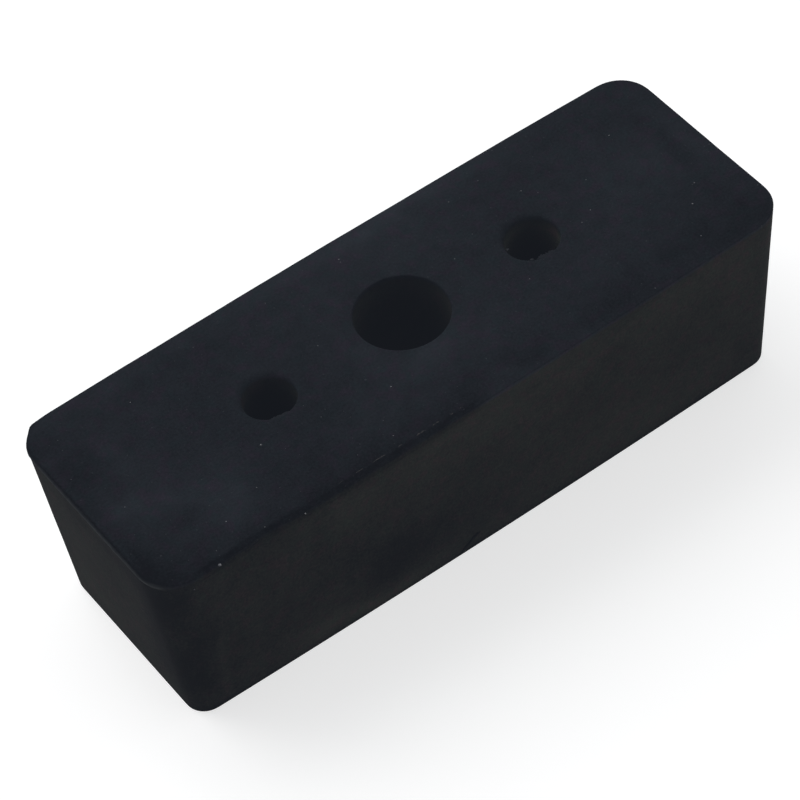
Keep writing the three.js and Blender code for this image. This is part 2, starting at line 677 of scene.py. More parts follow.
@dataclass(frozen=True)
class Mouth:
    """A round bore, framed by a square of grid cells in each face."""

    x: float
    y: float
    radius: float
    cells: int
    # painted light: how much a bore's wall is lightened below its mouth
    wall_painted_light: float = 0.25
    soft_side: float = 112.0
    mean_softness: float = 0.74
    softness_swing: float = 0.62

    def distance(self, point: Vector) -> float:
        """How far a point is from the bore's axis."""
        return math.hypot(point.x - self.x, point.y - self.y)

    def angle(self, point: Vector) -> float:
        """The direction of a point from the axis, in degrees from +X towards +Y."""
        return math.degrees(math.atan2(point.y - self.y, point.x - self.x))

    def point(self, station: int, ring: Ring, top: float = 0.0, soft_depth: float = 0.0) -> Vector:
        """Where a station of the square frame lies on a ring.

        Args:
            station: The number of a point on the frame's edge.
            ring: The ring's height and radius.
            top: The height of the face that the bore opens in.
            soft_depth: The depth over which the mouth is softer on one side than on the other, or 0.

        Returns:
            The point.
        """
        angle = math.radians(FIRST_CORNER_ANGLE + 360.0 * station / (4 * self.cells))
        radius, height = ring.radius, ring.height
        if soft_depth:
            facing = math.cos(angle - math.radians(self.soft_side))
            softness = self.mean_softness + self.softness_swing * facing
            near = 1 - smooth_step(max(top - height, radius - self.radius), soft_depth, 2 * soft_depth)
            scale = blend(1.0, softness, near)
            radius = self.radius + (radius - self.radius) * scale
            height = top - (top - height) * scale
        return Vector((self.x + math.cos(angle) * radius, self.y + math.sin(angle) * radius, height))


def rounded(start: Ring, end: Ring, steps: int, entering: bool = True) -> list[Ring]:
    """Rings that turn from a flat face into a bore, or back, on a quarter of an ellipse.

    Args:
        start: The first ring, which isn't returned.
        end: The last ring, which is.
        steps: How many rings there are.
        entering: Whether the bore is entered, and not left.

    Returns:
        The rings, in order.
    """
    rings = []
    for step in range(1, steps + 1):
        turn = math.pi / 2 * step / steps
        early, late = math.sin(turn), 1 - math.cos(turn)
        if not entering:
            early, late = late, early
        rings.append(Ring(blend(start.height, end.height, late), blend(start.radius, end.radius, early)))
    return rings


def spread(low: float, high: float, steps: int) -> list[float]:
    """Even steps from low to high, without low itself."""
    return [low + (high - low) * step / steps for step in range(1, steps + 1)]


@dataclass(frozen=True)
class ToneAndShadeCloud:
    """A soft lighter or darker cloud on the rubber, which fades outwards from its middle: some are random
    tone, others painted shade and painted light.
    """

    middle: Vector
    reach: Vector
    amount: float

    def at(self, point: Vector) -> float:
        """How much lighter the rubber is at a point."""
        away = [(place - middle) / reach for place, middle, reach in zip(point, self.middle, self.reach)]
        return self.amount * math.exp(-sum(share * share for share in away))


TOP_TONE_AND_SHADE = (
    ToneAndShadeCloud(mm(-117, 18, 73), mm(9, 11, 4), -0.20),
    ToneAndShadeCloud(mm(-104, 15, 73), mm(5, 11, 4), 0.17),
    ToneAndShadeCloud(mm(-96, 7, 73), mm(9, 7, 4), 0.08),
    ToneAndShadeCloud(mm(-86, 31, 73), mm(14, 8, 4), -0.11),
    ToneAndShadeCloud(mm(-112, -7, 73), mm(12, 4, 4), 0.24),
    ToneAndShadeCloud(mm(-96, -13, 73), mm(11, 6, 4), 0.17),
    ToneAndShadeCloud(mm(-87, -26, 73), mm(8, 9, 4), 0.26),
    ToneAndShadeCloud(mm(-104, -22, 73), mm(10, 5, 4), -0.16),
    ToneAndShadeCloud(mm(-62, -28, 73), mm(18, 9, 4), -0.16),
    ToneAndShadeCloud(mm(-48, -8, 73), mm(30, 16, 4), -0.09),
    ToneAndShadeCloud(mm(-17, -4, 73), mm(4, 11, 4), 0.15),
    ToneAndShadeCloud(mm(-2, -17, 73), mm(12, 4, 4), 0.28),
    ToneAndShadeCloud(mm(20, -22, 73), mm(28, 7, 4), 0.08),
    # painted shade: the top darkens towards its front rim
    ToneAndShadeCloud(mm(-6, -39, 73), mm(66, 7, 4), -0.29),
    ToneAndShadeCloud(mm(68, -35, 73), mm(18, 7, 4), -0.20),
    ToneAndShadeCloud(mm(96, 8, 73), mm(18, 15, 4), 0.16),
    ToneAndShadeCloud(mm(68, 26, 73), mm(9, 9, 4), -0.08),
    ToneAndShadeCloud(mm(113, 4, 73), mm(4, 20, 4), -0.14),
    ToneAndShadeCloud(mm(120, 0, 73), mm(3, 24, 4), 0.10),
    # painted shade: the top darkens towards the front right corner
    ToneAndShadeCloud(mm(104, -36, 73), mm(16, 7, 4), -0.20),
    ToneAndShadeCloud(mm(116, -31, 73), mm(6, 7, 4), -0.14),
    # painted highlight along the back rim of the top
    ToneAndShadeCloud(mm(0, 42, 73), mm(118, 5, 4), 0.20),
    ToneAndShadeCloud(mm(24, 43, 73), mm(34, 7, 4), 0.24),
    ToneAndShadeCloud(mm(12, 28, 73), mm(34, 10, 4), 0.13),
    ToneAndShadeCloud(mm(-72, 12, 73), mm(22, 18, 4), -0.06),
    # painted shade along the left end's rim of the top
    ToneAndShadeCloud(mm(-122, -12, 73), mm(3, 20, 4), -0.10),
)

SIDE_TONE_AND_SHADE = (
    ToneAndShadeCloud(mm(-38, -41, 25), mm(19, 9, 9), -0.36),
    ToneAndShadeCloud(mm(-60, -41, 34), mm(16, 9, 9), -0.10),
    ToneAndShadeCloud(mm(-2, -41, 20), mm(36, 9, 10), -0.13),
    ToneAndShadeCloud(mm(-47, -40, 4), mm(22, 9, 5), 0.38),
    ToneAndShadeCloud(mm(-68, -40, 7), mm(12, 9, 6), 0.16),
    ToneAndShadeCloud(mm(-62, -42, 41), mm(28, 9, 11), -0.12),
    ToneAndShadeCloud(mm(-38, -41, 16), mm(14, 9, 6), -0.10),
    # painted light: the upper front face is lighter
    ToneAndShadeCloud(mm(15, -43, 71), mm(32, 9, 4), 0.14),
    ToneAndShadeCloud(mm(92, -42, 68), mm(12, 9, 7), 0.13),
    ToneAndShadeCloud(mm(15, -42, 64), mm(80, 9, 12), 0.12),
    ToneAndShadeCloud(mm(-56, -42, 58), mm(5, 9, 12), 0.10),
    ToneAndShadeCloud(mm(-66, -42, 60), mm(4, 9, 14), -0.10),
    ToneAndShadeCloud(mm(-84, -42, 58), mm(20, 9, 20), -0.12),
    ToneAndShadeCloud(mm(-74, -42, 36), mm(5, 9, 4), 0.10),
    ToneAndShadeCloud(mm(-86, -42, 20), mm(14, 9, 10), -0.13),
    ToneAndShadeCloud(mm(52, -42, 52), mm(8, 9, 9), -0.12),
    ToneAndShadeCloud(mm(35, -42, 56), mm(9, 9, 9), 0.08),
    ToneAndShadeCloud(mm(45, -40, 14), mm(45, 9, 9), 0.12),
    ToneAndShadeCloud(mm(72, -40, 7), mm(15, 9, 5), 0.10),
    ToneAndShadeCloud(mm(10, -42, 38), mm(50, 9, 7), -0.06),
    ToneAndShadeCloud(mm(76, -42, 30), mm(6, 9, 6), -0.05),
    ToneAndShadeCloud(mm(106, -42, 54), mm(9, 9, 15), 0.14),
    ToneAndShadeCloud(mm(104, -42, 12), mm(7, 9, 9), -0.12),
    # painted shade down the near front left corner, lighter at its foot
    ToneAndShadeCloud(mm(-117, -36, 4), mm(8, 8, 6), 0.14),
    ToneAndShadeCloud(mm(-115, -38, 38), mm(9, 9, 60), -0.34),
    ToneAndShadeCloud(mm(-106.2, -42, 26), mm(1.2, 9, 14), 0.17),
    ToneAndShadeCloud(mm(-105.2, -42, 9), mm(1.2, 9, 9), 0.17),
    ToneAndShadeCloud(mm(-101, -42, 20), mm(3, 9, 16), -0.10),
    # painted shade under the left end's bead and towards its near corner
    ToneAndShadeCloud(mm(-122, 2, 66), mm(5, 24, 4), -0.24),
    ToneAndShadeCloud(mm(-122, -26, 64), mm(7, 16, 8), -0.26),
    ToneAndShadeCloud(mm(-121, -31, 34), mm(7, 6, 40), -0.30),
    ToneAndShadeCloud(mm(-121, 0, 42), mm(6, 34, 40), -0.06),
    ToneAndShadeCloud(mm(-121, 25, 30), mm(7, 10, 34), 0.12),
    ToneAndShadeCloud(mm(-123, 34, 50), mm(7, 4, 30), -0.30),
    ToneAndShadeCloud(mm(-122, -24, 69), mm(5, 12, 5), -0.12),
    ToneAndShadeCloud(mm(-122, -29, 56), mm(7, 7, 14), -0.18),
    ToneAndShadeCloud(mm(-122, -15, 62), mm(7, 24, 13), -0.10),
    ToneAndShadeCloud(mm(-120, -20, 12), mm(7, 10, 9), -0.10),
    ToneAndShadeCloud(mm(-120, 14, 14), mm(7, 18, 12), 0.17),
    ToneAndShadeCloud(mm(60, 41, 30), mm(30, 9, 14), -0.16),
    ToneAndShadeCloud(mm(-50, 42, 52), mm(44, 9, 14), 0.12),
    ToneAndShadeCloud(mm(122, 6, 36), mm(7, 20, 20), 0.12),
)


@dataclass(frozen=True)
class MouldMarks:
    """What moulding and trimming left: swells, a trimmed front rim and a beaded end rim; and the tone laid
    over the rubber: soft clouds that are partly painted shade and light, and painted shade along the front
    and end rims, on the trimmed bevel, down the sides and at the foot.
    """

    tone_and_shade_clouds: tuple[ToneAndShadeCloud, ...] = TOP_TONE_AND_SHADE + SIDE_TONE_AND_SHADE
    drift_scale: float = 17 * MM
    drift: float = 4 * MM
    swell: float = 0.08 * MM
    swell_heights: Band = Band(1 * MM, 6 * MM)
    front_places: Band = Band(25 * MM, 36 * MM)
    front_shade: float = 0.10
    front_depths: Band = Band(2 * MM, 7 * MM)
    end_lengths: Band = Band(108 * MM, 116 * MM)
    end_places: Band = Band(-42 * MM, -36 * MM)
    lip_shade: float = 0.20
    lip_depths: Band = Band(0.3 * MM, 1.6 * MM)
    side_shade: float = 0.10
    side_level: float = 0.8
    side_depths: Band = Band(0.2 * MM, 1.0 * MM)
    foot_shade: float = 0.42
    foot_heights: Band = Band(0.6 * MM, 2.6 * MM)
    trim_shade: float = 0.13
    trim_depths: Band = Band(1.6 * MM, 2.8 * MM)
    trim_starts: Band = Band(-113 * MM, -107 * MM)
    trim_ends: Band = Band(-10 * MM, 2 * MM)
    trim_width: float = 2.4 * MM
    trim_drop: float = 0.85 * MM
    trim_inset: float = 0.45 * MM
    trim_heights: Band = Band(5 * MM, 0.5 * MM)
    bite_middle: float = -86 * MM
    bite_reach: float = 11 * MM
    bite_depth: float = 1.0 * MM
    bite_heights: Band = Band(15 * MM, 2 * MM)
    bite_width: float = 4 * MM
    bead_bulge: float = 0.34 * MM
    bead_drop: float = 1.15 * MM
    bead_breadth: float = 0.7 * MM
    groove_drop: float = 2.645 * MM
    groove_breadth: float = 0.45 * MM
    groove_share: float = 0.5
    bead_highlight_depths: Band = Band(0.1 * MM, 0.5 * MM)
    corner_lip: float = 0.8 * MM
    corner_place: Vector = mm(-117.8, 42.4, 0)
    corner_way: Vector = Vector((-0.5, 0.86, 0.0))
    corner_reach: float = 2.2 * MM
    corner_heights: Band = Band(5 * MM, 1 * MM)
    corner_width: float = 2 * MM

    def tone(self, point: Vector, depth: float, top: float) -> float:
        """How much lighter or darker than plain the rubber is at a point.

        Args:
            point: The point.
            depth: How far inside the outline it is.
            top: The height of the top face.

        Returns:
            The change, from about -0.5 to 0.5.
        """
        wandered = point + noise.noise_vector(point / self.drift_scale) * self.drift
        down = top - point.z
        # the clouds are partly random tone and partly painted shade and painted light
        total = sum(cloud_mark.at(wandered) for cloud_mark in self.tone_and_shade_clouds)
        if down < 1 * MM:
            # painted shade: the top darkens near its front rim and along the left end's lip
            wander = 2 * MM * ripple(point.x, 11 * MM, seed=7.3)
            front = self.front_places.rise(-point.y) * self.front_depths.fall(depth + wander)
            total -= self.front_shade * front
            total -= self.lip_shade * self._end(point) * self.lip_depths.fall(depth)
        if down < 3 * MM:
            # painted shade on the trimmed front rim's bevel, in blotches
            blotch = 1 + 0.9 * ripple(point.x, 4 * MM, depth / (1.5 * MM), 2.2)
            total -= self.trim_shade * blotch * self._trim(point) * self.trim_depths.fall(depth)
        # painted shade: the outer wall is lighter towards the top and darker towards the base, and darker
        # still at the foot
        total += self.side_shade * (point.z / top - self.side_level) * self.side_depths.fall(depth)
        return total - self.foot_shade * self.foot_heights.fall(point.z)

    def bead_highlight(self, point: Vector, depth: float, top: float) -> float:
        """How much painted highlight the rubber has at a point, from 0 to 1: a paler line painted along the
        end rim's bead, where it catches the light.
        """
        breadth = blend(0.8, 1.2, smooth_step(-point.y, -30 * MM, 36 * MM)) * MM
        away = (top - self.bead_drop - point.z) / breadth
        rag = 0.6 + 0.5 * ripple(point.y, 2.4 * MM, 3.1, point.z / (1.2 * MM))
        return self._end(point) * math.exp(-away * away) * self.bead_highlight_depths.fall(depth) * rag

    def move(self, point: Vector, normal: Vector, depth: float, top: float) -> Vector:
        """How far a point of the smooth shell moves.

        Args:
            point: The point.
            normal: The smooth shell's normal there.
            depth: How far inside the outline it is.
            top: The height of the top face.

        Returns:
            The move.
        """
        down = top - point.z
        wave = noise.noise(point / (31 * MM)) + 0.35 * noise.noise(point / (7 * MM))
        moved = normal * (self.swell * wave * self.swell_heights.rise(point.z))
        moved += self._trimmed_rim(point, depth, down)
        moved += self._beaded_end(point, depth, down)
        moved += self._corner_lip(point, depth, down)
        return moved

    def _front(self, point: Vector) -> bool:
        """Whether a point is near the front."""
        return -point.y >= self.front_places.start

    def _trim(self, point: Vector) -> float:
        """How much of the trimmed front rim there is beside a point, from 0 to 1."""
        if not self._front(point):
            return 0.0
        return self.trim_starts.rise(point.x) * self.trim_ends.fall(point.x)

    def _trimmed_rim(self, point: Vector, depth: float, down: float) -> Vector:
        """The blade's uneven bevel along the front rim, and the bite that it took."""
        if not self._front(point) or down > 16 * MM:
            return Vector()
        along = Vector((point.x / (6 * MM), 0.0, 1.7))
        width = self.trim_width * (1 + 0.25 * noise.noise(along))
        drop = self.trim_drop * (1 + 0.45 * noise.noise(along * 0.7 + Vector((0.0, 4.0, 0.0))))
        near_top = (self.trim_heights.start - down) / (self.trim_heights.start - self.trim_heights.end)
        fall = max(1 - depth / width, 0.0) * self._trim(point) * min(max(near_top, 0.0), 1.0)
        bite = self.bite_depth * math.exp(-(((point.x - self.bite_middle) / self.bite_reach) ** 2))
        bite *= self.bite_heights.rise(down) * max(1 - depth / self.bite_width, 0.0)
        return Vector((0.0, self.trim_inset * fall + bite, -drop * fall))

    def _end(self, point: Vector) -> float:
        """How much of the beaded left end there is at a point, from 0 to 1."""
        return self.end_lengths.rise(-point.x) * self.end_places.rise(point.y)

    def _corner_lip(self, point: Vector, depth: float, down: float) -> Vector:
        """The sharp lip of flash left on the back corner of the left end."""
        away = (point - self.corner_place).xy.length / self.corner_reach
        near_rim = self.corner_heights.rise(down) * max(1 - depth / self.corner_width, 0.0)
        return self.corner_way * (self.corner_lip * math.exp(-away * away) * near_rim)

    def _beaded_end(self, point: Vector, depth: float, down: float) -> Vector:
        """The bead of flash along the left end's rim, with a thin groove under it."""
        if down > 4 * MM or depth > 1.2 * MM:
            return Vector()
        rag = 1 + 0.5 * ripple(point.y, 5 * MM, 9.0) + 0.3 * ripple(point.y, 1.8 * MM, 5.0)
        bead = math.exp(-(((down - self.bead_drop) / self.bead_breadth) ** 2)) * rag
        groove = self.groove_share * math.exp(-(((down - self.groove_drop) / self.groove_breadth) ** 2))
        return Vector((-self.bead_bulge * (bead - groove) * self._end(point), 0.0, 0.0))


@dataclass
class RubberMoulding:
    """The moulded block: a shell grown from its two faces, with bores, rounded rims and moulding marks."""

    height: float
    top: Outline
    base: Outline
    centre: Mouth
    wells: tuple[Mouth, Mouth]
    sleeve_pocket_radius: float
    sleeve_pocket_top: float
    cells_along: int = 96
    cells_across: int = 28
    face_margin: float = 6 * MM
    top_rim_radius: float = 0.4 * MM
    base_rim_radius: float = 0.4 * MM
    well_mouth_radius: float = 2.3 * MM
    side_rows: int = 22
    under_rim_depth: float = 4 * MM
    under_rim_rows: int = 5
    marks: MouldMarks = MouldMarks()
    shell: bpy.types.Object = field(init=False)

    def build(self) -> bpy.types.Object:
        """Builds the whole moulding.

        Returns:
            The finished mesh object.
        """
        top_patch = self._patch(self.top, self.height)
        base_patch = self._patch(self.base, 0.0)
        mouths = (self.centre, *self.wells)
        self.shell = join(self._face(top_patch, mouths), self._face(base_patch, mouths))
        self.shell.name = "rubber_moulding"
        self.shell.data.name = "rubber_moulding"
        with editing(self.shell):
            self._grow_sides(top_patch, base_patch)
            self._grow_bore(top_patch, base_patch, self.centre, self._centre_rings(), 0.0)
            for well in self.wells:
                self._grow_bore(top_patch, base_patch, well, self._well_rings(well), self.well_mouth_radius)
            bpy.ops.mesh.select_all(action="SELECT")
            bpy.ops.mesh.remove_doubles(threshold=0.001 * MM)
            bpy.ops.mesh.normals_make_consistent(inside=False)
        apply_modifier(self.shell, "SUBSURF", levels=1, render_levels=1)
        self._mark()
        return self.shell

    def depth_inside(self, point: Vector) -> float:
        """How far a point is inside the tapered outline at its own height."""
        share = point.z / self.height
        radius = blend(self.base.radius_near(point), self.top.radius_near(point), share)
        straight_x = blend(self.base.length, self.top.length, share) / 2 - radius
        straight_y = blend(self.base.width, self.top.width, share) / 2 - radius
        bow = self.top.side_bow * max(1 - (point.x / straight_x) ** 2, 0.0)
        away_x = abs(point.x) - straight_x
        away_y = abs(point.y) - straight_y - bow
        return radius - math.hypot(max(away_x, 0.0), max(away_y, 0.0)) - min(max(away_x, away_y), 0.0)

    def _mark(self) -> None:
        """Moves the shell's points as moulding left them, and stores each one's tone, with its painted shade
        and light, and its painted bead highlight.
        """
        mesh = self.shell.data
        mesh.attributes.new("tone", "FLOAT", "POINT")
        mesh.attributes.new("bead_highlight", "FLOAT", "POINT")
        tones, bead_highlights = mesh.attributes["tone"].data, mesh.attributes["bead_highlight"].data
        normals = [vertex.normal.copy() for vertex in mesh.vertices]
        for vertex, normal in zip(mesh.vertices, normals):
            point = vertex.co.copy()
            bore = min((self.centre, *self.wells), key=lambda mouth: mouth.distance(point))
            # painted light: bore walls get a lighter colour below their mouths, in place of the other tone
            if bore.distance(point) - bore.radius < 0.3 * MM:
                fade = smooth_step(self.height - point.z, 0.6 * MM, 5 * MM)
                tones[vertex.index].value = bore.wall_painted_light * fade
                continue
            depth = self.depth_inside(point)
            tones[vertex.index].value = self.marks.tone(point, depth, self.height)
            bead_highlights[vertex.index].value = self.marks.bead_highlight(point, depth, self.height)
            vertex.co = point + self.marks.move(point, normal, depth, self.height)
        mesh.update()

    def _patch(self, outline: Outline, height: float) -> Patch:
        """The rectangle of grid cells inside an outline."""
        length = outline.length - 2 * self.face_margin
        width = outline.width - 2 * self.face_margin
        cell = Vector((length / self.cells_along, width / self.cells_across, 0.0))
        return Patch(Vector((0.0, 0.0, height)), cell, self.cells_along, self.cells_across)

    @staticmethod
    def _frame(patch: Patch, mouth: Mouth) -> Patch:
        """The square of a patch's cells that frames a bore."""
        column, row = round(mouth.x / patch.cell.x), round(mouth.y / patch.cell.y)
        middle = Vector((column * patch.cell.x, row * patch.cell.y, 0.0))
        return Patch(middle + patch.centre, patch.cell, mouth.cells, mouth.cells)

    def _face(self, patch: Patch, mouths: tuple[Mouth, ...]) -> bpy.types.Object:
        """Makes the flat middle of a face: a grid without the cells round each bore.

        Args:
            patch: The grid's cells.
            mouths: The bores.

        Returns:
            The open grid.
        """
        bpy.ops.object.select_all(action="DESELECT")
        bpy.ops.mesh.primitive_grid_add(
            x_subdivisions=patch.across_x, y_subdivisions=patch.across_y, size=1.0, location=patch.centre
        )
        face = bpy.context.object
        face.scale = (2 * patch.half.x, 2 * patch.half.y, 1.0)
        bpy.ops.object.transform_apply(location=True, rotation=True, scale=True)
        with editing(face):
            for mouth in mouths:
                frame_cells = self._frame(patch, mouth)
                select_where(face, "FACE", lambda cell: frame_cells.covers(cell.calc_center_median()))
                bpy.ops.mesh.delete(type="FACE")
        return face

    def _grow(self, start: Patch, rows: list[Callable[[int], Vector]]) -> None:
        """Extrudes the open edge of a patch row by row, in edit mode.

        Args:
            start: The patch whose edge is extruded.
            rows: For each row, where each station of the edge goes.
        """
        height = start.centre.z

        def on_edge(edge: bmesh.types.BMEdge) -> bool:
            """Whether an edge is part of the open edge of the patch."""
            level = all(abs(v.co.z - height) < 0.01 * MM and start.on_edge(v.co) for v in edge.verts)
            return level and len(edge.link_faces) == 1

        select_where(self.shell, "EDGE", on_edge)
        mesh = bmesh.from_edit_mesh(self.shell.data)
        layer = mesh.verts.layers.int.get("station") or mesh.verts.layers.int.new("station")
        for vertex in mesh.verts:
            if vertex.select:
                vertex[layer] = start.nearest_station(vertex.co)
        for row in rows:
            bpy.ops.mesh.extrude_edges_move()
            mesh = bmesh.from_edit_mesh(self.shell.data)
            layer = mesh.verts.layers.int["station"]
            for vertex in mesh.verts:
                if vertex.select:
                    vertex.co = row(vertex[layer])
            bmesh.update_edit_mesh(self.shell.data)

    def _grow_sides(self, top_patch: Patch, base_patch: Patch) -> None:
        """Grows the outer wall from the top face over its rim, down the tapered sides and under the base."""
        steps = [Row(self.height, inset) for inset in (2.4 * MM, 1.6 * MM)]
        start = Ring(self.height, self.top_rim_radius)
        steps += [Row(self.height, self.top_rim_radius)]
        rim = rounded(start, Ring(self.height - start.radius, 0.0), 4)
        steps += [Row(ring.height, ring.radius) for ring in rim]
        under_rim = self.height - self.under_rim_depth
        steps += [Row(z, 0.0) for z in spread(self.height - start.radius, under_rim, self.under_rim_rows)]
        steps += [Row(z, 0.0) for z in spread(under_rim, self.base_rim_radius, self.side_rows)]
        low = Ring(self.base_rim_radius, 0.0)
        foot = rounded(low, Ring(0.0, self.base_rim_radius), 3, entering=False)
        steps += [Row(ring.height, ring.radius) for ring in foot]
        steps += [Row(0.0, 1.6 * MM)]

        def on_wall(step: Row) -> Callable[[int], Vector]:
            """Where each station goes on one row of the wall."""
            share = step.height / self.height

            def place(station: int) -> Vector:
                """Where a station goes on the row."""
                low_point = self.base.point(base_patch, station, step.inset)
                point = low_point.lerp(self.top.point(top_patch, station, step.inset), share)
                point.z = step.height
                return point

            return place

        rows = [on_wall(step) for step in steps]
        rows = [self._halfway(top_patch.edge_point, rows[0])] + rows
        rows += [self._halfway(base_patch.edge_point, rows[-1]), base_patch.edge_point]
        self._grow(top_patch, rows)

    @staticmethod
    def _halfway(first: Callable[[int], Vector], second: Callable[[int], Vector]) -> Callable[[int], Vector]:
        """A row midway between two others."""
        return lambda station: first(station).lerp(second(station), 0.5)

    def _centre_rings(self) -> list[Ring]:
        """The centre hole's rings, from the top face to the base."""
        radius = self.centre.radius
        lip, foot = 0.45 * MM, 0.6 * MM
        rings = [Ring(self.height, radius + wider) for wider in (2 * MM, 0.9 * MM, lip)]
        rings += rounded(rings[-1], Ring(self.height - lip, radius), 3)
        rings += [Ring(z, radius) for z in spread(self.height - lip, foot, 22)]
        rings += rounded(rings[-1], Ring(0.0, radius + foot), 2, entering=False)
        rings += [Ring(0.0, radius + 2 * MM)]
        return rings

    def _well_rings(self, well: Mouth) -> list[Ring]:
        """A bolt well's rings: a soft mouth, the well, the shoulder over the sleeve and its pocket."""
        radius, mouth = well.radius, self.well_mouth_radius
        pocket, shoulder = self.sleeve_pocket_radius, self.sleeve_pocket_top
        edge, foot = 0.15 * MM, 0.3 * MM
        rings = [Ring(self.height, radius + wider) for wider in (2 * mouth, 1.4 * mouth, mouth)]
        rings += rounded(rings[-1], Ring(self.height - mouth, radius), 5)
        rings += [Ring(z, radius) for z in spread(self.height - mouth, shoulder + edge, 16)]
        rings += [Ring(shoulder, radius + edge), Ring(shoulder, pocket - edge)]
        rings += [Ring(shoulder - edge, pocket)]
        rings += [Ring(z, pocket) for z in spread(shoulder - edge, foot, 4)]
        rings += rounded(rings[-1], Ring(0.0, pocket + foot), 2, entering=False)
        return rings

    def _grow_bore(
        self, top_patch: Patch, base_patch: Patch, mouth: Mouth, rings: list[Ring], soft_depth: float
    ) -> None:
        """Grows a bore's wall from the top face to the base.

        Args:
            top_patch: The top face's cells.
            base_patch: The base face's cells.
            mouth: The bore.
            rings: Its rings, from the top face to the base.
            soft_depth: The depth over which its mouth is softer on one side, or 0.
        """
        start = self._frame(top_patch, mouth)
        end = self._frame(base_patch, mouth)

        def on_ring(ring: Ring) -> Callable[[int], Vector]:
            """Where each station goes on one ring."""
            return lambda station: mouth.point(station, ring, self.height, soft_depth)

        rows = [on_ring(ring) for ring in rings]
        rows = [self._halfway(start.edge_point, rows[0])] + rows + [end.edge_point]
        self._grow(start, rows)


# ---------------------------------------------------------------- flash, slivers and crumbs


@dataclass(frozen=True)
class RaggedStrip:
    """A thin ragged strip of rubber that follows a line."""

    line: Callable[[float], Vector]
    across: Callable[[float], Vector]
    width: float
    thickness: float
    raggedness: float = 0.4
    seed: float = 0.0
    steps: int = 24
    curl: float = 0.0
    rows: int = 4
    blunt_tip: float = 0.02
    fullness: float = 1.6

    def build(self) -> bpy.types.Object:
        """Makes the strip as a closed thin solid.

        Returns:
            The mesh object.
        """
        bpy.ops.object.select_all(action="DESELECT")
        bpy.ops.mesh.primitive_grid_add(
            x_subdivisions=self.steps, y_subdivisions=self.rows, size=1.0, location=(0.0, 0.0, 0.0)
        )
        strip = bpy.context.object
        for vertex in strip.data.vertices:
            along, out = vertex.co.x + 0.5, vertex.co.y + 0.5
            inside = min(max(along, self.blunt_tip), 1 - self.blunt_tip)
            taper = min(math.sin(math.pi * inside) * self.fullness, 1.0)
            rag = 1 + self.raggedness * ripple(along, 3 / self.steps, self.seed, 0.5)
            lift = self.curl * math.sin(math.pi * out) * taper
            place = self.line(along) + self.across(along) * (self.width * out * taper * rag)
            vertex.co = place + Vector((0.0, 0.0, lift))
        apply_modifier(strip, "SOLIDIFY", thickness=self.thickness, offset=0.0)
        return strip


@dataclass(frozen=True)
class Crumb:
    """A small lump of dust or rubber lying on the block."""

    place: Vector
    radius: float
    flatness: float = 0.45
    lumpiness: float = 0.35

    def build(self) -> bpy.types.Object:
        """Makes the lump, flatter than it is wide and sunk a little into what it lies on.

        Returns:
            The mesh object.
        """
        bpy.ops.object.select_all(action="DESELECT")
        bpy.ops.mesh.primitive_ico_sphere_add(subdivisions=2, radius=self.radius, location=(0.0, 0.0, 0.0))
        lump = bpy.context.object
        for vertex in lump.data.vertices:
            bulge = 1 + self.lumpiness * noise.noise(vertex.co / self.radius * 1.3 + self.place / MM)
            vertex.co = vertex.co * Vector((bulge, bulge, self.flatness)) + self.place
        return lump


